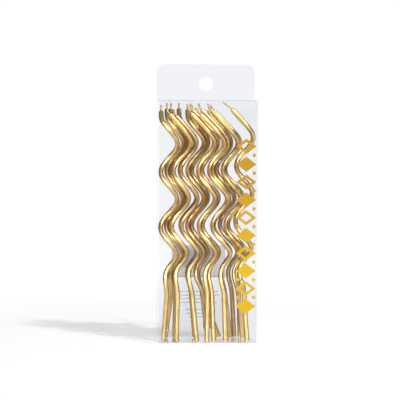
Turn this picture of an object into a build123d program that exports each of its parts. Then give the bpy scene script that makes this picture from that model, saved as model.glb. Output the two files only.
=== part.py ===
from build123d import *
import math
import os

# Hang-tab pack of gold spiral candles: a folding box of clear sheet, closed by a tuck lid at each
# end, with sixteen candles standing in it. Millimetres, +Z up, origin at the middle of the base,
# front panel facing -Y.

# Candle: a round rod of wax on a full-length wick, straight at the foot and wound above it
ROD_DIA = 2.8
WICK_DIA = 1.1
WICK_GAP = 0.05
HELIX_RADIUS = 4.9
HELIX_PITCH = 33.3
STEM_LENGTH = 36.0
WICK_RISE = 4.0
TIP_ROUND = 0.6
CANDLE_GAP = 0.55

# Knee, where a stem turns into the line of its helix, and the stretch over which the winding grows
KNEE_RISE = 4.0
KNEE_SPREAD = 20.0
WIND_START = -10.0
WIND_FULL = 20.0

# Sheet of the box and the room it leaves round the candles
SHEET = 0.3
CREASE = 0.5
SIDE_ROOM = 0.6
FRONT_ROOM = 0.7
HEAD_ROOM = 0.7
FOOT_GAP = 0.1
HINGE_GAP = 0.05

# Hang tab, on top of the back panel
TAB_HEIGHT = 22.0
TAB_CORNER = 5.0
HANG_HOLE_DIA = 8.5
HANG_HOLE_RISE = 10.2

# Closures: lids with tuck flaps, tapered dust flaps, and the flap that glues the sleeve shut
LID_SIDE_GAP = 0.3
TUCK_BACK_GAP = 0.85
TUCK_LENGTH = 14.0
TUCK_CORNER = 6.0
TUCK_SIDE_GAP = 0.8
TUCK_LEAN = 6.0
TUCK_BEND = 0.5
DUST_LENGTH = 22.0
DUST_TAPER = 16.0
DUST_CORNER = 2.0
DUST_FRONT_GAP = 0.6
DUST_BACK_GAP = 2.2
GLUE_WIDTH = 11.0
GLUE_END = 3.0
GLUE_MITRE = 15.0
GLUE_GAP = 0.05

# Label stuck on the outside of the back panel
LABEL_WIDTH = 33.0
LABEL_HEIGHT = 55.0
LABEL_THICK = 0.1
LABEL_CORNER = 1.5
LABEL_X = -4.0
LABEL_FOOT = 1.5

# Share of a length that is too small to count
FINE = 0.0001

# Two candles wound in step clear each other when their axes stand one lane apart
HELIX_SLOPE = math.atan(2 * math.pi * HELIX_RADIUS / HELIX_PITCH)
LANE = (ROD_DIA + CANDLE_GAP) / math.cos(HELIX_SLOPE)
OUTER_LANE = 5.0
LAYER_LANE = 1.14

# Where each candle stands, in lanes from the middle of the box: foot, knee and crown of its axis
# (across, back), with the crown a set number of turns above the stem. Then, also in lanes, the lift
# of its winding and its straight tip, the turns from stem to tip, and how far the wick leans on past
# the tip (0 upright, 1 straight on).
CROWN_TURNS = 3.0
CANDLES = [
    ((-5.64, -1.10), (-5.00, -1.10), (-4.92, -1.10), -0.13, 0.59, 3.00, 0.5),
    ((-5.30, 1.84), (-4.26, 0.13), (-4.12, 0.09), 0.00, 0.68, 3.00, 0.8),
    ((-3.95, -1.97), (-3.73, -1.14), (-3.08, -1.14), 0.00, 2.00, 2.75, 0.5),
    ((-1.28, -2.15), (-2.12, -1.14), (-2.48, -0.12), 0.00, 1.70, 2.75, 0.3),
    ((1.84, 1.40), (-1.40, 0.09), (-1.40, 0.22), 0.00, 0.60, 3.00, 0.6),
    ((0.35, 1.88), (-0.79, 1.10), (-0.79, 1.14), 0.00, 0.45, 3.00, 0.3),
    ((0.04, -2.15), (0.18, -1.14), (-0.18, -1.14), 0.00, 2.06, 2.75, 0.6),
    ((0.96, -2.15), (0.66, 0.04), (0.40, 0.00), 0.00, 2.50, 2.75, 0.3),
    ((2.50, -1.93), (2.24, -1.14), (0.92, -1.14), 0.00, 1.95, 2.75, 0.7),
    ((3.33, 1.40), (2.24, 0.09), (1.64, 0.04), 0.00, 2.50, 2.75, 0.5),
    ((3.90, 1.88), (3.38, 1.10), (2.02, 1.14), 0.00, 1.62, 2.75, 0.4),
    ((5.00, 1.18), (4.00, 0.04), (2.85, 0.04), 0.00, 2.50, 2.75, 0.4),
    ((5.35, -2.15), (4.78, -1.14), (5.02, -0.97), 0.66, 1.97, 2.75, 1.5),
    ((4.69, 1.90), (4.38, 1.10), (3.20, 1.14), 0.00, 2.28, 2.75, 0.6),
    ((-4.08, 1.88), (-3.95, 1.14), (-3.60, 1.14), 0.00, 0.68, 3.00, 0.2),
    ((-1.40, 1.88), (-2.15, 1.14), (-2.50, 1.14), 0.00, 0.75, 3.00, 0.3),
]

# Heights of the box, from the stack of lid, dust flap and candle at each end
HALF_SHEET = SHEET / 2
LID_AXIS_RISE = HALF_SHEET
DUST_AXIS_RISE = SHEET + HINGE_GAP + HALF_SHEET
FLOOR = DUST_AXIS_RISE + HALF_SHEET
FOOT_HEIGHT = FLOOR + FOOT_GAP
WOUND_HEIGHT = max((lift + tip) * LANE + turns * HELIX_PITCH for *_, lift, tip, turns, _ in CANDLES)
BOX_HEIGHT = STEM_LENGTH + WOUND_HEIGHT + WICK_RISE + HEAD_ROOM + FLOOR
BOX_WIDTH = 2 * (OUTER_LANE * LANE + HELIX_RADIUS + ROD_DIA / 2 + SIDE_ROOM + SHEET)
BOX_DEPTH = 2 * (LAYER_LANE * LANE + HELIX_RADIUS + ROD_DIA / 2 + FRONT_ROOM + SHEET)
HALF_WIDTH = BOX_WIDTH / 2
HALF_DEPTH = BOX_DEPTH / 2

# Hinge lines of the closures at the top, which the base repeats upside down
LID_AXIS_Y = -HALF_DEPTH + HALF_SHEET
LID_AXIS_Z = BOX_HEIGHT - LID_AXIS_RISE
TUCK_AXIS_Y = HALF_DEPTH - SHEET - TUCK_BACK_GAP
TUCK_AXIS_Z = BOX_HEIGHT - TUCK_BEND
DUST_AXIS_X = HALF_WIDTH - HALF_SHEET
DUST_AXIS_Z = BOX_HEIGHT - DUST_AXIS_RISE
BEND = CREASE + SHEET
CREASE_LEG = 2 * BEND
GLUE_BACK = HALF_DEPTH - SHEET - GLUE_GAP


def plate(x_range, y_range, z_range):
    """A flat-sided plate between two corners."""
    low = (x_range[0], y_range[0], z_range[0])
    size = (x_range[1] - x_range[0], y_range[1] - y_range[0], z_range[1] - z_range[0])
    return Pos(*low) * Box(*size, align=(Align.MIN, Align.MIN, Align.MIN))


def bead_along_x(length, y, z, radius=HALF_SHEET):
    """The rounded fold that a flap turns on, along the width."""
    return Pos(0, y, z) * Rot(0, 90, 0) * Cylinder(radius, length)


def bead_along_y(length, x, z):
    """The rounded fold that a flap turns on, along the depth."""
    return Pos(x, 0, z) * Rot(90, 0, 0) * Cylinder(HALF_SHEET, length)


def upside_down(shape):
    """The same closure at the base of the box."""
    return Pos(0, 0, BOX_HEIGHT) * mirror(shape, about=Plane.XY)


def make_front_panel():
    """Front wall, with the folds that both lids turn on."""
    width = BOX_WIDTH - 2 * CREASE_LEG
    panel = plate(
        (-width / 2, width / 2),
        (-HALF_DEPTH, -HALF_DEPTH + SHEET),
        (LID_AXIS_RISE, LID_AXIS_Z),
    )
    for axis_z in (LID_AXIS_RISE, LID_AXIS_Z):
        panel += bead_along_x(width, LID_AXIS_Y, axis_z)
    return panel


def make_side_panel(back):
    """Right side wall with a rounded crease at each end, and the folds of its dust flaps."""
    leg_x = HALF_WIDTH - CREASE_LEG
    outer = FilletPolyline(
        (leg_x, back),
        (HALF_WIDTH, back),
        (HALF_WIDTH, -HALF_DEPTH),
        (leg_x, -HALF_DEPTH),
        radius=BEND,
    )
    inner = FilletPolyline(
        (leg_x, -HALF_DEPTH + SHEET),
        (HALF_WIDTH - SHEET, -HALF_DEPTH + SHEET),
        (HALF_WIDTH - SHEET, back - SHEET),
        (leg_x, back - SHEET),
        radius=CREASE,
    )
    ends = Line(outer @ 1, inner @ 0) + Line(inner @ 1, outer @ 0)
    profile = make_face(outer + ends + inner)
    panel = Pos(0, 0, DUST_AXIS_RISE) * extrude(profile, DUST_AXIS_Z - DUST_AXIS_RISE)
    for axis_z in (DUST_AXIS_RISE, DUST_AXIS_Z):
        panel += bead_along_y(BOX_DEPTH - 2 * CREASE_LEG, DUST_AXIS_X, axis_z)
    return panel


def make_left_panel():
    """Left side wall, folded round to the back panel in one sheet."""
    return mirror(make_side_panel(HALF_DEPTH), about=Plane.YZ)


def make_right_panel():
    """Right side wall, folded in behind the back panel where the glue flap goes on."""
    panel = make_side_panel(GLUE_BACK)
    clear_of_tuck = plate((0, HALF_WIDTH + SHEET), (GLUE_BACK - BEND, HALF_DEPTH), (0, GLUE_END))
    return panel - clear_of_tuck - upside_down(clear_of_tuck)


def make_glue_flap():
    """Flap with mitred ends, glued flat to the inside of the back panel."""
    root_x = HALF_WIDTH - CREASE_LEG
    tip_x = HALF_WIDTH - GLUE_WIDTH
    slope = math.tan(math.radians(GLUE_MITRE)) * (root_x - tip_x)
    outline = Polyline(
        (root_x, GLUE_END),
        (root_x, BOX_HEIGHT - GLUE_END),
        (tip_x, BOX_HEIGHT - GLUE_END - slope),
        (tip_x, GLUE_END + slope),
        close=True,
    )
    return Pos(0, GLUE_BACK - SHEET, 0) * extrude(Plane.XZ * make_face(outline), -SHEET)


def make_back_panel():
    """Back wall, running up past the lid as a hang tab with rounded corners and a round hole."""
    crease_x = -HALF_WIDTH + CREASE_LEG
    tab_top = BOX_HEIGHT + TAB_HEIGHT
    outline = make_face(
        Polyline(
            (crease_x, 0),
            (HALF_WIDTH, 0),
            (HALF_WIDTH, tab_top),
            (-HALF_WIDTH, tab_top),
            (-HALF_WIDTH, BOX_HEIGHT),
            (crease_x, BOX_HEIGHT),
            close=True,
        )
    )
    outline = fillet(outline.vertices().group_by(Axis.Y)[-1], TAB_CORNER)
    outline -= Pos(0, BOX_HEIGHT + HANG_HOLE_RISE) * Circle(HANG_HOLE_DIA / 2)
    return Pos(0, HALF_DEPTH - SHEET, 0) * extrude(Plane.XZ * outline, -SHEET)


def make_top_lid():
    """Lid that turns on the front panel's top fold, with a rolled crease at the rear for its tuck flap."""
    half = HALF_WIDTH - SHEET - LID_SIDE_GAP
    start = LID_AXIS_Y + HALF_SHEET + HINGE_GAP
    lid = plate((-half, half), (start, TUCK_AXIS_Y), (BOX_HEIGHT - SHEET, BOX_HEIGHT))
    return lid + bead_along_x(2 * half, TUCK_AXIS_Y, TUCK_AXIS_Z, TUCK_BEND)


def make_top_tuck_flap():
    """Flap with rounded corners that slides down behind the candles, leaning in from its crease."""
    half = HALF_WIDTH - SHEET - TUCK_SIDE_GAP
    start = TUCK_BEND + HINGE_GAP
    outline = Rectangle(2 * half, TUCK_LENGTH, align=(Align.CENTER, Align.MAX))
    outline = fillet(outline.vertices().group_by(Axis.Y)[0], TUCK_CORNER)
    flap = extrude(Plane.XZ * (Pos(0, -start) * outline), HALF_SHEET, both=True)
    return Pos(0, TUCK_AXIS_Y, TUCK_AXIS_Z) * Rot(-TUCK_LEAN, 0, 0) * flap


def make_top_dust_flap(side):
    """Tapered flap on a side panel's fold, lying under the lid."""
    root = DUST_AXIS_X - HALF_SHEET - HINGE_GAP
    tip = root - DUST_LENGTH
    taper = math.tan(math.radians(DUST_TAPER)) * DUST_LENGTH
    front = -HALF_DEPTH + SHEET + DUST_FRONT_GAP
    back = GLUE_BACK - SHEET - DUST_BACK_GAP
    outline = make_face(
        Polyline(
            (root, front),
            (root, back),
            (tip, back - taper),
            (tip, front + taper),
            close=True,
        )
    )
    outline = fillet(outline.vertices().group_by(Axis.X)[0], DUST_CORNER)
    flap = Pos(0, 0, DUST_AXIS_Z - HALF_SHEET) * extrude(outline, SHEET)
    return flap if side > 0 else mirror(flap, about=Plane.YZ)


def make_back_label():
    """Paper label on the outside of the back panel."""
    paper = extrude(Plane.XZ * RectangleRounded(LABEL_WIDTH, LABEL_HEIGHT, LABEL_CORNER), -LABEL_THICK)
    return Pos(LABEL_X, HALF_DEPTH, LABEL_FOOT + LABEL_HEIGHT / 2) * paper


def axis_place(candle, height):
    """Place of a candle's axis at a height: a straight stem, an easy bend at the knee, a straight rise."""
    foot, knee, crown = candle[:3]
    knee_height = STEM_LENGTH + KNEE_RISE
    crown_height = STEM_LENGTH + CROWN_TURNS * HELIX_PITCH
    bend = min(max(height - knee_height + KNEE_SPREAD, 0), 2 * KNEE_SPREAD)
    past = max(height - knee_height - KNEE_SPREAD, 0)
    place = []
    for low, middle, high in zip(foot, knee, crown):
        stem_lean = (middle - low) / (knee_height - FOOT_HEIGHT)
        rise_lean = (high - middle) / (crown_height - knee_height)
        turned = (rise_lean - stem_lean) * (bend * bend / (4 * KNEE_SPREAD) + past)
        place.append(LANE * (middle + stem_lean * (height - knee_height) + turned))
    return place


def centre_point(candle, height):
    """Middle of the rod at a height: the axis plus a left-handed winding that grows out of the stem."""
    lift = candle[3] * LANE
    grown = (height - STEM_LENGTH - WIND_START) / (WIND_FULL - WIND_START)
    grown = min(max(grown, 0), 1)
    reach = HELIX_RADIUS * grown * grown * (3 - 2 * grown)
    angle = 2 * math.pi * (height - STEM_LENGTH - lift) / HELIX_PITCH
    across, back = axis_place(candle, height)
    return Vector(across - reach * math.cos(angle), back + reach * math.sin(angle), height)


def centre_direction(candle, height):
    """Direction of the rod at a height."""
    step = HELIX_PITCH * FINE
    return (centre_point(candle, height + step) - centre_point(candle, height - step)).normalized()


def arc_or_line(start, direction, end):
    """An arc that leaves in a direction, or a line where the end lies straight ahead."""
    chord = end - start
    if direction.cross(chord).length < chord.length * FINE:
        return Edge.make_line(start, end)
    return Edge.make_tangent_arc(start, direction, end)


def biarc(start, start_dir, end, end_dir):
    """Two arcs that meet in one direction, between two points with given directions."""
    chord = end - start
    square = 2 * (1 - start_dir.dot(end_dir))
    linear = 2 * chord.dot(start_dir + end_dir)
    chord_square = chord.dot(chord)
    reach = 2 * chord_square / (linear + math.sqrt(linear * linear + 4 * square * chord_square))
    first_corner = start + start_dir * reach
    last_corner = end - end_dir * reach
    middle = (first_corner + last_corner) * 0.5
    middle_dir = (last_corner - first_corner).normalized()
    return [arc_or_line(start, start_dir, middle), arc_or_line(middle, middle_dir, end)]


def wax_edges(candle):
    """Centre line of a candle: straight stem, a biarc for each quarter turn, straight tip."""
    lift, tip, turns = candle[3] * LANE, candle[4] * LANE, candle[5]
    bend_start = STEM_LENGTH + KNEE_RISE - KNEE_SPREAD
    stem_top = centre_point(candle, bend_start)
    stem_dir = centre_direction(candle, bend_start)
    rim_drop = ROD_DIA / 2 * math.sqrt(1 - stem_dir.Z**2)
    foot_point = centre_point(candle, FOOT_HEIGHT + rim_drop)
    quarter = HELIX_PITCH / 4
    heights = [STEM_LENGTH + lift + quarter * count for count in range(-1, round(4 * turns) + 1)]

    edges = [Edge.make_line(foot_point, stem_top)]
    here, here_dir = stem_top, stem_dir
    for height in heights:
        there, there_dir = centre_point(candle, height), centre_direction(candle, height)
        edges += biarc(here, here_dir, there, there_dir)
        here, here_dir = there, there_dir
    edges.append(Edge.make_line(here, here + here_dir * (tip / here_dir.Z)))
    return edges


def wick_end(candle, edges):
    """Free end of the wick, curling out of the tip of the wax."""
    wick_lean = candle[6]
    top, top_dir = edges[-1] @ 1, edges[-1] % 1
    run = Vector(top_dir.X, top_dir.Y, 0) * (wick_lean * WICK_RISE / top_dir.Z)
    return arc_or_line(top, top_dir, top + run + Vector(0, 0, WICK_RISE))


def make_candle(candle):
    """Wax rod cast round its wick, cut square at the foot and rounded off at the tip."""
    edges = wax_edges(candle)
    path = Wire(edges)
    foot_plane = Plane(origin=path @ 0, z_dir=path % 0)
    bore = Circle(WICK_DIA / 2 + WICK_GAP)
    wax = sweep(foot_plane * (Circle(ROD_DIA / 2) - bore), path=path)
    tip_face = wax.faces().sort_by_distance(path @ 1)[0]
    wax = fillet(tip_face.outer_wire().edges(), TIP_ROUND)
    wick = sweep(foot_plane * Circle(WICK_DIA / 2), path=Wire(edges + [wick_end(candle, edges)]))
    return wax, wick, path


def least_gaps(paths):
    """Least room between two candles, and between a candle and itself further along."""
    steps = 120
    own_reach = 4 * ROD_DIA
    lines = [[tuple(path @ (step / steps)) for step in range(steps + 1)] for path in paths]
    between = min(
        math.dist(p, q)
        for i, line in enumerate(lines)
        for other in lines[i + 1:]
        for p in line
        for q in other
    )
    own = min(
        math.dist(line[i], line[j])
        for path, line in zip(paths, lines)
        for i in range(steps)
        for j in range(i + 1, steps + 1)
        if (j - i) * path.length / steps > own_reach
    )
    return between - ROD_DIA, own - ROD_DIA


top_lid = make_top_lid()
top_tuck_flap = make_top_tuck_flap()
top_left_dust_flap = make_top_dust_flap(-1)
top_right_dust_flap = make_top_dust_flap(1)

nodes = {
    "front_panel": make_front_panel(),
    "left_panel": make_left_panel(),
    "right_panel": make_right_panel(),
    "glue_flap": make_glue_flap(),
    "back_panel": make_back_panel(),
    "back_label": make_back_label(),
    "top_lid": top_lid,
    "top_tuck_flap": top_tuck_flap,
    "top_left_dust_flap": top_left_dust_flap,
    "top_right_dust_flap": top_right_dust_flap,
    "bottom_lid": upside_down(top_lid),
    "bottom_tuck_flap": upside_down(top_tuck_flap),
    "bottom_left_dust_flap": upside_down(top_left_dust_flap),
    "bottom_right_dust_flap": upside_down(top_right_dust_flap),
}

paths = []
for number, candle in enumerate(CANDLES, start=1):
    wax, wick, path = make_candle(candle)
    nodes[f"candle_{number:02d}_wax"] = wax
    nodes[f"candle_{number:02d}_wick"] = wick
    paths.append(path)

os.makedirs("parts", exist_ok=True)
for name, shape in nodes.items():
    export_step(shape, f"parts/{name}.step")

gap_between, gap_to_itself = least_gaps(paths)
print(f"box {BOX_WIDTH:.2f} x {BOX_DEPTH:.2f} x {BOX_HEIGHT:.2f} mm, lane {LANE:.3f} mm")
print(f"least gap between candles {gap_between:.2f} mm, of a candle to itself {gap_to_itself:.2f} mm")
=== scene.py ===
import math

import bpy
from mathutils import Matrix, Vector


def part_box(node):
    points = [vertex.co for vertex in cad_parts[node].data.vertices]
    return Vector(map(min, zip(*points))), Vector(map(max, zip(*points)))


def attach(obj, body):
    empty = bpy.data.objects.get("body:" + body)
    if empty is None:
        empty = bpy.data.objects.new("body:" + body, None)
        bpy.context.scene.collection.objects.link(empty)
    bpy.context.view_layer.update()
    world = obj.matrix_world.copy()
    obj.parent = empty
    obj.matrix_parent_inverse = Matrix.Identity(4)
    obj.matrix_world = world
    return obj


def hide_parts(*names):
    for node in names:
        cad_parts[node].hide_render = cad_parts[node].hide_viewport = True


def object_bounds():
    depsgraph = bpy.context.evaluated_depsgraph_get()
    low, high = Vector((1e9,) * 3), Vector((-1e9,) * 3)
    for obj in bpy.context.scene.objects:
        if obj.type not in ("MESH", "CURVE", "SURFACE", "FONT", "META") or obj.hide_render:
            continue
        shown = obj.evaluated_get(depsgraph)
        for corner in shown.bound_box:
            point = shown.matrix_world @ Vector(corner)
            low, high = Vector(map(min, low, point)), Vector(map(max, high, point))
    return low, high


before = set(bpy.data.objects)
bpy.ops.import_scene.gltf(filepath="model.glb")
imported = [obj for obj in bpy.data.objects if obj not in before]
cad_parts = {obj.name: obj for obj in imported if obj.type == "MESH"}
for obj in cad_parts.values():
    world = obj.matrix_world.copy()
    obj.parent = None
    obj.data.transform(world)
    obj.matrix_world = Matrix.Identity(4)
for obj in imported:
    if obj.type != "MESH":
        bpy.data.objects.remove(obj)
cad_low, cad_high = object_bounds()

scene = bpy.context.scene
scene.view_settings.view_transform = "Standard"


# Camera. It stands about 0.8 m in front of the pack and a little to its left, near the top of the
# candles, with a long lens. It turns slightly to the right and looks slightly down.
camera_place = Vector((-0.04119, -0.81433, 0.13261))
turn_right = math.radians(2.63)
look_down = math.radians(3.34)
camera_roll = math.radians(0.23)
camera_lens = 122.04
sensor_width = 36.0

bpy.ops.object.select_all(action="DESELECT")
bpy.ops.object.camera_add()
camera = bpy.context.active_object
camera.data.sensor_width = sensor_width
camera.data.lens = camera_lens
camera.matrix_world = (
    Matrix.Translation(camera_place)
    @ Matrix.Rotation(-turn_right, 4, "Z")
    @ Matrix.Rotation(math.radians(90) - look_down, 4, "X")
    @ Matrix.Rotation(camera_roll, 4, "Z")
)
scene.camera = camera


# Studio sweep. One white sheet of paper lies under the pack and rises in a wide curve behind it,
# so no horizon shows. It sits a hair under the base and keeps the shadow of the pack. To the eye and
# in reflections it glows to white, less so close to the pack, where the shadow falls.
sweep_size = 24.0
sweep_back = 1.7
sweep_rise = 2.2
sweep_curve = 0.9
sweep_curve_steps = 24
sweep_drop = 0.0001
paper_grey = (0.52, 0.52, 0.514, 1)
glow_near_pack, glow_away = 0.57, 0.775
near_pack, away_from_pack = 0.15, 0.40

bpy.ops.object.select_all(action="DESELECT")
bpy.ops.mesh.primitive_plane_add(size=sweep_size, location=(0, sweep_back - sweep_size / 2, -sweep_drop))
sweep = bpy.context.active_object
sweep.name = "studio_sweep"
bpy.ops.object.transform_apply(location=True, rotation=True, scale=True)
bpy.ops.object.mode_set(mode="EDIT")
bpy.ops.mesh.select_mode(type="EDGE")
bpy.ops.mesh.select_all(action="DESELECT")
bpy.ops.object.mode_set(mode="OBJECT")
for edge in sweep.data.edges:
    edge.select = all(sweep.data.vertices[v].co.y > sweep_back - sweep_drop for v in edge.vertices)
bpy.ops.object.mode_set(mode="EDIT")
bpy.ops.mesh.extrude_region_move(TRANSFORM_OT_translate={"value": (0, 0, sweep_rise)})
bpy.ops.mesh.select_all(action="DESELECT")
bpy.ops.object.mode_set(mode="OBJECT")
for edge in sweep.data.edges:
    ends = [sweep.data.vertices[v].co for v in edge.vertices]
    edge.select = all(end.y > sweep_back - sweep_drop and end.z < 0 for end in ends)
bpy.ops.object.mode_set(mode="EDIT")
bpy.ops.mesh.bevel(offset=sweep_curve, segments=sweep_curve_steps, affect="EDGES")
bpy.ops.object.mode_set(mode="OBJECT")
bpy.ops.object.shade_smooth()

sweep_paper = bpy.data.materials.new("sweep_paper")
sweep_paper.use_nodes = True
nodes, links = sweep_paper.node_tree.nodes, sweep_paper.node_tree.links
nodes.clear()
paper_diffuse = nodes.new("ShaderNodeBsdfDiffuse")
paper_diffuse.inputs["Color"].default_value = paper_grey
paper_glow = nodes.new("ShaderNodeEmission")
paper_glow.inputs["Color"].default_value = (1, 1, 1, 1)
seen_by = nodes.new("ShaderNodeLightPath")
camera_or_glossy = nodes.new("ShaderNodeMath")
camera_or_glossy.operation = "MAXIMUM"
links.new(seen_by.outputs["Is Camera Ray"], camera_or_glossy.inputs[0])
links.new(seen_by.outputs["Is Glossy Ray"], camera_or_glossy.inputs[1])
any_sight = nodes.new("ShaderNodeMath")
any_sight.operation = "MAXIMUM"
links.new(camera_or_glossy.outputs[0], any_sight.inputs[0])
links.new(seen_by.outputs["Is Transmission Ray"], any_sight.inputs[1])
sweep_place = nodes.new("ShaderNodeTexCoord")
from_pack = nodes.new("ShaderNodeVectorMath")
from_pack.operation = "LENGTH"
links.new(sweep_place.outputs["Object"], from_pack.inputs[0])
glow_far = nodes.new("ShaderNodeMapRange")
glow_far.inputs["From Min"].default_value = near_pack
glow_far.inputs["From Max"].default_value = away_from_pack
glow_far.inputs["To Min"].default_value = glow_near_pack
glow_far.inputs["To Max"].default_value = glow_away
links.new(from_pack.outputs["Value"], glow_far.inputs["Value"])
glow_level = nodes.new("ShaderNodeMath")
glow_level.operation = "MULTIPLY"
links.new(any_sight.outputs[0], glow_level.inputs[0])
links.new(glow_far.outputs["Result"], glow_level.inputs[1])
links.new(glow_level.outputs[0], paper_glow.inputs["Strength"])
paper_sum = nodes.new("ShaderNodeAddShader")
links.new(paper_diffuse.outputs[0], paper_sum.inputs[0])
links.new(paper_glow.outputs[0], paper_sum.inputs[1])
paper_out = nodes.new("ShaderNodeOutputMaterial")
links.new(paper_sum.outputs[0], paper_out.inputs["Surface"])
sweep.data.materials.append(sweep_paper)


# Studio light. A small lamp high on the right of the camera throws the shadow back to the left and
# lights the sweep alone. The clear back panel with its tab throws none. Large soft boxes and tall
# strips, kept off the sweep, draw long highlights on the rods.
pack_middle = (cad_low + cad_high) / 2
lamp_direction = Vector((0.55, -0.51, 1.0))
lamp_away = 1.3
lamp_size = 0.05
lamp_power = 12.5
box_away = 1.0


def linked_to(name, thing, link_state):
    """A set for one lamp: one thing alone, or all but that thing."""
    things = bpy.data.collections.new(name)
    things.objects.link(thing)
    things.collection_objects[0].light_linking.link_state = link_state
    return things


def soft_box(name, direction, away, width, height, power, lights):
    """A rectangular soft box that faces the pack from a direction and lights a set of things."""
    bpy.ops.object.select_all(action="DESELECT")
    bpy.ops.object.light_add(type="AREA", location=pack_middle + direction.normalized() * away)
    light = bpy.context.active_object
    light.name = name
    light.data.shape = "RECTANGLE"
    light.data.size = width
    light.data.size_y = height
    light.data.energy = power
    light.rotation_euler = direction.to_track_quat("Z", "Y").to_euler()
    light.light_linking.receiver_collection = lights
    return light


sweep_alone = linked_to("sweep_alone", sweep, "INCLUDE")
off_the_sweep = linked_to("off_the_sweep", sweep, "EXCLUDE")
shadow_lamp = soft_box(
    "shadow_lamp", lamp_direction, lamp_away, lamp_size, lamp_size, lamp_power, sweep_alone
)
shadow_lamp.light_linking.blocker_collection = linked_to(
    "no_shadow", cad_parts["back_panel"], "EXCLUDE"
)
for name, direction, width, height, power in (
    ("top_panel", (0.10, -0.62, 0.75), 1.60, 0.40, 8.8),
    ("right_box", (0.65, -0.50, 0.80), 0.40, 0.50, 4.2),
    ("right_strip", (0.62, -0.78, 0.16), 0.10, 1.10, 3.8),
    ("front_strip", (-0.36, -1.0, 0.16), 0.14, 1.00, 6.2),
):
    soft_box(name, Vector(direction), box_away, width, height, power, off_the_sweep)


# Dark cards. Two sheets of grey card stand well to the left and right of the pack, out of the
# picture. They show only in reflections on what is inside the box, where they draw the dark edge
# along both sides of each rod.
card_away = 0.60
card_from, card_to = 0.05, 1.05
card_tall = 1.10
card_middle_y = (card_from + card_to) / 2
faces_of_a_sheet = 2

card_grey = bpy.data.materials.new("card_grey")
card_grey.use_nodes = True
nodes, links = card_grey.node_tree.nodes, card_grey.node_tree.links
card_skin = nodes["Principled BSDF"]
card_skin.inputs["Base Color"].default_value = (0.11, 0.095, 0.08, 1)
card_skin.inputs["Roughness"].default_value = 0.9
card_sight = nodes.new("ShaderNodeLightPath")
through_sheets = nodes.new("ShaderNodeMath")
through_sheets.operation = "GREATER_THAN"
through_sheets.inputs[1].default_value = faces_of_a_sheet + 0.5
links.new(card_sight.outputs["Transparent Depth"], through_sheets.inputs[0])
links.new(through_sheets.outputs[0], card_skin.inputs["Alpha"])

for card_name, card_x in (("left_card", -card_away), ("right_card", card_away)):
    bpy.ops.object.select_all(action="DESELECT")
    bpy.ops.mesh.primitive_plane_add(
        size=1,
        location=(card_x, card_middle_y, card_tall / 2),
        rotation=(0, math.radians(90), 0),
    )
    card = bpy.context.active_object
    card.name = card_name
    card.scale = (card_tall, card_to - card_from, 1)
    bpy.ops.object.transform_apply(location=True, rotation=True, scale=True)
    card.visible_camera = False
    card.visible_diffuse = False
    card.visible_transmission = False
    card.visible_shadow = False
    card.data.materials.append(card_grey)


# Room. Plain grey walls stand all round the set. They give the even light between the lamps, so
# that no side of the pack goes dark.
room_light = 0.32
room = bpy.data.worlds.new("grey_room")
room.use_nodes = True
room.node_tree.nodes["Background"].inputs["Color"].default_value = (1, 1, 1, 1)
room.node_tree.nodes["Background"].inputs["Strength"].default_value = room_light
scene.world = room


# Clear sheet of the box: panels, lids and flaps, cut and creased from one blank of 0.3 mm clear
# polyester. It mirrors more edge on, and its gloss is faintly wavy and scuffed. The back panel, with
# the hang tab, shows its cool tint. The others look nearly colourless.
sheet_faces_in_line = 48
back_tint = (0.934, 0.941, 0.961, 1)
thin_tint = (0.992, 0.993, 0.995, 1)
scene.cycles.transparent_max_bounces = sheet_faces_in_line

clear_sheet = bpy.data.materials.new("clear_box_sheet")
clear_sheet.use_nodes = True
nodes, links = clear_sheet.node_tree.nodes, clear_sheet.node_tree.links
nodes.clear()
sheet_place = nodes.new("ShaderNodeTexCoord")
sheet_wave = nodes.new("ShaderNodeTexNoise")
sheet_wave.inputs["Scale"].default_value = 45.0
sheet_wave.inputs["Detail"].default_value = 2.0
links.new(sheet_place.outputs["Object"], sheet_wave.inputs["Vector"])
sheet_bump = nodes.new("ShaderNodeBump")
sheet_bump.inputs["Strength"].default_value = 0.25
sheet_bump.inputs["Distance"].default_value = 0.0004
links.new(sheet_wave.outputs["Fac"], sheet_bump.inputs["Height"])
sheet_scuff = nodes.new("ShaderNodeTexNoise")
sheet_scuff.inputs["Scale"].default_value = 900.0
sheet_scuff.inputs["Detail"].default_value = 6.0
links.new(sheet_place.outputs["Object"], sheet_scuff.inputs["Vector"])
sheet_rough = nodes.new("ShaderNodeMapRange")
sheet_rough.inputs["To Min"].default_value = 0.04
sheet_rough.inputs["To Max"].default_value = 0.16
links.new(sheet_scuff.outputs["Fac"], sheet_rough.inputs["Value"])
sheet_gloss = nodes.new("ShaderNodeBsdfPrincipled")
sheet_gloss.inputs["Base Color"].default_value = (0.88, 0.90, 0.94, 1)
sheet_gloss.inputs["Metallic"].default_value = 1.0
links.new(sheet_rough.outputs["Result"], sheet_gloss.inputs["Roughness"])
links.new(sheet_bump.outputs["Normal"], sheet_gloss.inputs["Normal"])
sheet_through = nodes.new("ShaderNodeBsdfTransparent")
sheet_through.inputs["Color"].default_value = back_tint
sheet_facing = nodes.new("ShaderNodeLayerWeight")
sheet_facing.inputs["Blend"].default_value = 0.5
sheet_edge = nodes.new("ShaderNodeMath")
sheet_edge.operation = "POWER"
sheet_edge.inputs[1].default_value = 5.0
links.new(sheet_facing.outputs["Facing"], sheet_edge.inputs[0])
sheet_share = nodes.new("ShaderNodeMapRange")
sheet_share.inputs["To Min"].default_value = 0.014
sheet_share.inputs["To Max"].default_value = 0.90
links.new(sheet_edge.outputs[0], sheet_share.inputs["Value"])
sheet_mix = nodes.new("ShaderNodeMixShader")
links.new(sheet_share.outputs["Result"], sheet_mix.inputs["Fac"])
links.new(sheet_through.outputs[0], sheet_mix.inputs[1])
links.new(sheet_gloss.outputs[0], sheet_mix.inputs[2])
sheet_out = nodes.new("ShaderNodeOutputMaterial")
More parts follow.
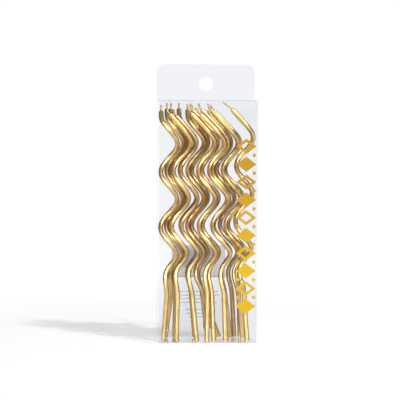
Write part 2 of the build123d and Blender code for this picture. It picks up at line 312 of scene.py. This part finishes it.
links.new(sheet_mix.outputs[0], sheet_out.inputs["Surface"])

box_panels = ["front_panel", "left_panel", "right_panel", "glue_flap"]
box_closures = [
    f"{end}_{piece}"
    for end in ("top", "bottom")
    for piece in ("lid", "tuck_flap", "left_dust_flap", "right_dust_flap")
]
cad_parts["back_panel"].material_slots[0].material = clear_sheet
thin_sheet = clear_sheet.copy()
thin_sheet.name = "clear_creased_sheet"
thin_sheet.node_tree.nodes[sheet_through.name].inputs["Color"].default_value = thin_tint
for name in box_panels + box_closures:
    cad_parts[name].material_slots[0].material = thin_sheet


# Candles. Each is a rod of wax cast round its wick, wound while warm into a spiral above a straight
# foot, and sprayed with gold lacquer that lies thinner and duller in places. Candles further back in
# the pack get a darker gold: painted shade for the shade that the candles in front cast on them.
def gold_lacquer(name, painted_shade_share):
    """Gold lacquer on wax, clouded in colour and finely grained, darkened by a given share of painted
    shade.
    """
    thin_coat = [(1 - painted_shade_share) * share for share in (0.61, 0.415, 0.152)]
    thick_coat = [(1 - painted_shade_share) * share for share in (0.83, 0.605, 0.278)]
    material = bpy.data.materials.new(name)
    material.use_nodes = True
    nodes, links = material.node_tree.nodes, material.node_tree.links
    lacquer = nodes["Principled BSDF"]
    lacquer.inputs["Metallic"].default_value = 1.0
    lacquer.inputs["Specular Tint"].default_value = (0.06, 0.035, 0.01, 1)
    place = nodes.new("ShaderNodeTexCoord")
    cloud = nodes.new("ShaderNodeTexNoise")
    cloud.inputs["Scale"].default_value = 160.0
    cloud.inputs["Detail"].default_value = 5.0
    links.new(place.outputs["Object"], cloud.inputs["Vector"])
    colour = nodes.new("ShaderNodeValToRGB")
    colour.color_ramp.elements[0].position = 0.30
    colour.color_ramp.elements[0].color = (*thin_coat, 1)
    colour.color_ramp.elements[1].position = 0.68
    colour.color_ramp.elements[1].color = (*thick_coat, 1)
    links.new(cloud.outputs["Fac"], colour.inputs["Fac"])
    links.new(colour.outputs["Color"], lacquer.inputs["Base Color"])
    grain = nodes.new("ShaderNodeTexNoise")
    grain.inputs["Scale"].default_value = 2600.0
    grain.inputs["Detail"].default_value = 3.0
    links.new(place.outputs["Object"], grain.inputs["Vector"])
    rough = nodes.new("ShaderNodeMapRange")
    rough.inputs["To Min"].default_value = 0.24
    rough.inputs["To Max"].default_value = 0.34
    links.new(grain.outputs["Fac"], rough.inputs["Value"])
    links.new(rough.outputs["Result"], lacquer.inputs["Roughness"])
    bump = nodes.new("ShaderNodeBump")
    bump.inputs["Strength"].default_value = 0.04
    bump.inputs["Distance"].default_value = 0.00005
    links.new(grain.outputs["Fac"], bump.inputs["Height"])
    links.new(bump.outputs["Normal"], lacquer.inputs["Normal"])
    return material


front_row = (1, 3, 7, 9, 13)
middle_row = (2, 4, 5, 8, 10, 12)
back_row = (6, 11, 14, 15, 16)
# Painted shade: the middle row's gold is darkened by 8% and the back row's by 18%, the front row not at
# all.
for row, shaded_gold in (
    (front_row, gold_lacquer("gold_wax_front_unshaded", 0.0)),
    (middle_row, gold_lacquer("gold_wax_half_painted_shade", 0.08)),
    (back_row, gold_lacquer("gold_wax_painted_shade", 0.18)),
):
    for number in row:
        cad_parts[f"candle_{number:02d}_wax"].material_slots[0].material = shaded_gold


# Wicks. Each is a braided cotton cord that runs the length of its candle and curls out of the tip,
# stiffened by the same gold lacquer.
gilded_wick = bpy.data.materials.new("gilded_cotton_wick")
gilded_wick.use_nodes = True
nodes, links = gilded_wick.node_tree.nodes, gilded_wick.node_tree.links
wick_skin = nodes["Principled BSDF"]
wick_skin.inputs["Metallic"].default_value = 0.8
wick_skin.inputs["Roughness"].default_value = 0.48
wick_place = nodes.new("ShaderNodeTexCoord")
wick_braid = nodes.new("ShaderNodeTexWave")
wick_braid.bands_direction = "DIAGONAL"
wick_braid.inputs["Scale"].default_value = 420.0
wick_braid.inputs["Distortion"].default_value = 2.0
links.new(wick_place.outputs["Object"], wick_braid.inputs["Vector"])
wick_colour = nodes.new("ShaderNodeValToRGB")
wick_colour.color_ramp.elements[0].color = (0.34, 0.22, 0.09, 1)
wick_colour.color_ramp.elements[1].color = (0.64, 0.48, 0.25, 1)
links.new(wick_braid.outputs["Fac"], wick_colour.inputs["Fac"])
links.new(wick_colour.outputs["Color"], wick_skin.inputs["Base Color"])
wick_bump = nodes.new("ShaderNodeBump")
wick_bump.inputs["Strength"].default_value = 0.5
wick_bump.inputs["Distance"].default_value = 0.0001
links.new(wick_braid.outputs["Fac"], wick_bump.inputs["Height"])
links.new(wick_bump.outputs["Normal"], wick_skin.inputs["Normal"])

wick_nodes = sorted(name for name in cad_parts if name.endswith("_wick"))
for name in wick_nodes:
    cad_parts[name].material_slots[0].material = gilded_wick


# Front print. A strip of lozenges in gold ink, printed on the outside of the front panel along its
# right edge: tall lozenges in a chain, open ones by turns with filled ones, and small ones beside.
ink_thick = 0.00002
strip_x = 0.0231
strip_low = 0.0170
strip_high = 0.1229
strip_width = 0.0120
chain_count = 10
panel_face_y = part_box("front_panel")[0].y

chain_step = (strip_high - strip_low) / chain_count
lozenge_share = 0.86
lozenge_tall = chain_step * lozenge_share
lozenge_rim = 0.0016
bead_wide = 0.0026


def print_lozenge(x, z, wide, tall, rim=0.0):
    """One lozenge of ink on the front panel, filled, or open with a rim of a given width."""
    bpy.ops.object.select_all(action="DESELECT")
    bpy.ops.mesh.primitive_circle_add(vertices=4, radius=0.5, fill_type="NGON")
    lozenge = bpy.context.active_object
    bpy.ops.object.mode_set(mode="EDIT")
    bpy.ops.mesh.select_all(action="SELECT")
    bpy.ops.transform.resize(value=(wide, tall, 1))
    if rim:
        bpy.ops.mesh.inset(thickness=rim)
        bpy.ops.mesh.delete(type="FACE")
        bpy.ops.mesh.select_all(action="SELECT")
    bpy.ops.mesh.extrude_region_move(TRANSFORM_OT_translate={"value": (0, 0, ink_thick)})
    bpy.ops.mesh.select_all(action="SELECT")
    bpy.ops.mesh.normals_make_consistent(inside=False)
    bpy.ops.object.mode_set(mode="OBJECT")
    lozenge.rotation_euler = (math.radians(90), 0, 0)
    lozenge.location = (x, panel_face_y, z)
    bpy.ops.object.transform_apply(location=True, rotation=True, scale=True)
    return lozenge


lozenges = []
for count in range(chain_count):
    middle_z = strip_low + (count + 0.5) * chain_step
    rim = lozenge_rim if count % 2 else 0.0
    lozenges.append(print_lozenge(strip_x, middle_z, strip_width, lozenge_tall, rim))
for count in range(1, chain_count):
    joint_z = strip_low + count * chain_step
    for side in (-1, 1):
        bead_x = strip_x + side * (strip_width - bead_wide) / 2
        lozenges.append(print_lozenge(bead_x, joint_z, bead_wide, bead_wide))

bpy.ops.object.select_all(action="DESELECT")
for lozenge in lozenges:
    lozenge.select_set(True)
bpy.context.view_layer.objects.active = lozenges[0]
bpy.ops.object.join()
front_print = bpy.context.active_object
front_print.name = "front_print"
front_print.data.name = "front_print"

gold_ink = bpy.data.materials.new("gold_ink")
gold_ink.use_nodes = True
nodes, links = gold_ink.node_tree.nodes, gold_ink.node_tree.links
ink = nodes["Principled BSDF"]
ink.inputs["Metallic"].default_value = 0.35
ink.inputs["Roughness"].default_value = 0.38
ink_place = nodes.new("ShaderNodeTexCoord")
ink_height = nodes.new("ShaderNodeSeparateXYZ")
links.new(ink_place.outputs["Object"], ink_height.inputs["Vector"])
ink_share = nodes.new("ShaderNodeMapRange")
ink_share.inputs["From Min"].default_value = strip_low
ink_share.inputs["From Max"].default_value = strip_high
links.new(ink_height.outputs["Z"], ink_share.inputs["Value"])
ink_fade = nodes.new("ShaderNodeValToRGB")
ink_fade.color_ramp.elements[0].position = 0.25
ink_fade.color_ramp.elements[0].color = (0.62, 0.385, 0.007, 1)
ink_fade.color_ramp.elements[1].position = 0.75
ink_fade.color_ramp.elements[1].color = (0.41, 0.23, 0.011, 1)
links.new(ink_share.outputs["Result"], ink_fade.inputs["Fac"])
ink_speckle = nodes.new("ShaderNodeTexNoise")
ink_speckle.inputs["Scale"].default_value = 1500.0
links.new(ink_place.outputs["Object"], ink_speckle.inputs["Vector"])
ink_mottle = nodes.new("ShaderNodeMixRGB")
ink_mottle.blend_type = "OVERLAY"
ink_mottle.inputs["Fac"].default_value = 0.25
links.new(ink_fade.outputs["Color"], ink_mottle.inputs["Color1"])
links.new(ink_speckle.outputs["Fac"], ink_mottle.inputs["Color2"])
links.new(ink_mottle.outputs["Color"], ink.inputs["Base Color"])
front_print.data.materials.append(gold_ink)
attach(front_print, "pack")


# Back label. A thin paper label stuck on the outside of the back panel. Its print shows through
# to the front: a beige head with a plain dark block, a thin orange rule, grey bars and an orange mark.
label_low, label_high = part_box("back_label")
label_middle = (label_low + label_high) / 2
label_size = label_high - label_low
label_corner = 0.0015
label_corner_steps = 6

bpy.ops.object.select_all(action="DESELECT")
bpy.ops.mesh.primitive_cube_add(size=1, location=label_middle)
label = bpy.context.active_object
label.name = "printed_label"
label.data.name = "printed_label"
label.scale = label_size
bpy.ops.object.transform_apply(location=True, rotation=True, scale=True)
bpy.ops.object.mode_set(mode="EDIT")
bpy.ops.mesh.select_mode(type="EDGE")
bpy.ops.mesh.select_all(action="DESELECT")
bpy.ops.object.mode_set(mode="OBJECT")
for edge in label.data.edges:
    ends = [label.data.vertices[v].co for v in edge.vertices]
    edge.select = abs(ends[0].y - ends[1].y) > label_size.y / 2
bpy.ops.object.mode_set(mode="EDIT")
bpy.ops.mesh.bevel(offset=label_corner, segments=label_corner_steps, affect="EDGES")

rule_z = label_low.z + 0.0355
rule_tall = 0.0006
orange_rule = (label_low.x, label_high.x, rule_z, rule_z + rule_tall)
head_inset = 0.0070
head_below, head_above = 0.0135, 0.0020
head_block = (
    label_low.x + head_inset,
    label_high.x - head_inset,
    label_high.z - head_below,
    label_high.z - head_above,
)
mark_left, mark_right = 0.0195, 0.0262
mark_foot, mark_top = 0.0035, 0.0088
orange_mark = (
    label_low.x + mark_left,
    label_low.x + mark_right,
    label_low.z + mark_foot,
    label_low.z + mark_top,
)
bar_tall = 0.0006
bar_rows = [
    (0.0050, 0.0285, 0.0262),
    (0.0040, 0.0290, 0.0240),
    (0.0040, 0.0270, 0.0218),
    (0.0045, 0.0280, 0.0196),
    (0.0085, 0.0275, 0.0150),
    (0.0095, 0.0260, 0.0128),
    (0.0110, 0.0240, 0.0106),
]
grey_bars = [
    (label_low.x + left, label_low.x + right, label_low.z + foot, label_low.z + foot + bar_tall)
    for left, right, foot in bar_rows
]

cut_x = set()
cut_z = set()
for left, right, foot, top in [head_block, orange_mark, orange_rule] + grey_bars:
    cut_x.update((left, right))
    cut_z.update((foot, top))
for x in sorted(cut_x - {label_low.x, label_high.x}):
    bpy.ops.mesh.select_all(action="SELECT")
    bpy.ops.mesh.bisect(plane_co=(x, 0, 0), plane_no=(1, 0, 0))
for z in sorted(cut_z):
    bpy.ops.mesh.select_all(action="SELECT")
    bpy.ops.mesh.bisect(plane_co=(0, 0, z), plane_no=(0, 0, 1))
bpy.ops.object.mode_set(mode="OBJECT")


def label_print(name, colour, clear):
    """Matt ink on thin paper with a faint fibre, which lets a share of the light through."""
    paper = bpy.data.materials.new(name)
    paper.use_nodes = True
    nodes, links = paper.node_tree.nodes, paper.node_tree.links
    skin = nodes["Principled BSDF"]
    skin.inputs["Roughness"].default_value = 0.62
    skin.inputs["Alpha"].default_value = 1 - clear
    place = nodes.new("ShaderNodeTexCoord")
    fibre = nodes.new("ShaderNodeTexNoise")
    fibre.inputs["Scale"].default_value = 1100.0
    fibre.inputs["Detail"].default_value = 4.0
    links.new(place.outputs["Object"], fibre.inputs["Vector"])
    tone = nodes.new("ShaderNodeValToRGB")
    tone.color_ramp.elements[0].color = (*(0.9 * c for c in colour), 1)
    tone.color_ramp.elements[1].color = (*colour, 1)
    links.new(fibre.outputs["Fac"], tone.inputs["Fac"])
    links.new(tone.outputs["Color"], skin.inputs["Base Color"])
    relief = nodes.new("ShaderNodeBump")
    relief.inputs["Strength"].default_value = 0.2
    relief.inputs["Distance"].default_value = 0.00005
    links.new(fibre.outputs["Fac"], relief.inputs["Height"])
    links.new(relief.outputs["Normal"], skin.inputs["Normal"])
    return paper


plain_white, beige_ink, dark_ink, orange_ink, grey_ink = range(5)
for name, colour, clear in (
    ("label_white", (0.92, 0.93, 0.94), 0.88),
    ("label_beige", (0.90, 0.84, 0.74), 0.62),
    ("label_dark_block", (0.42, 0.45, 0.42), 0.50),
    ("label_orange", (0.90, 0.52, 0.16), 0.40),
    ("label_grey_ink", (0.46, 0.47, 0.51), 0.66),
):
    label.data.materials.append(label_print(name, colour, clear))


def inside(area, point):
    """Whether a point of the label lies in a printed area."""
    left, right, foot, top = area
    return left < point.x < right and foot < point.z < top


for face in label.data.polygons:
    if inside(orange_mark, face.center) or inside(orange_rule, face.center):
        face.material_index = orange_ink
    elif inside(head_block, face.center):
        face.material_index = dark_ink
    elif any(inside(bar, face.center) for bar in grey_bars):
        face.material_index = grey_ink
    elif face.center.z > rule_z:
        face.material_index = beige_ink
    else:
        face.material_index = plain_white
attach(label, "pack")
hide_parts("back_label")
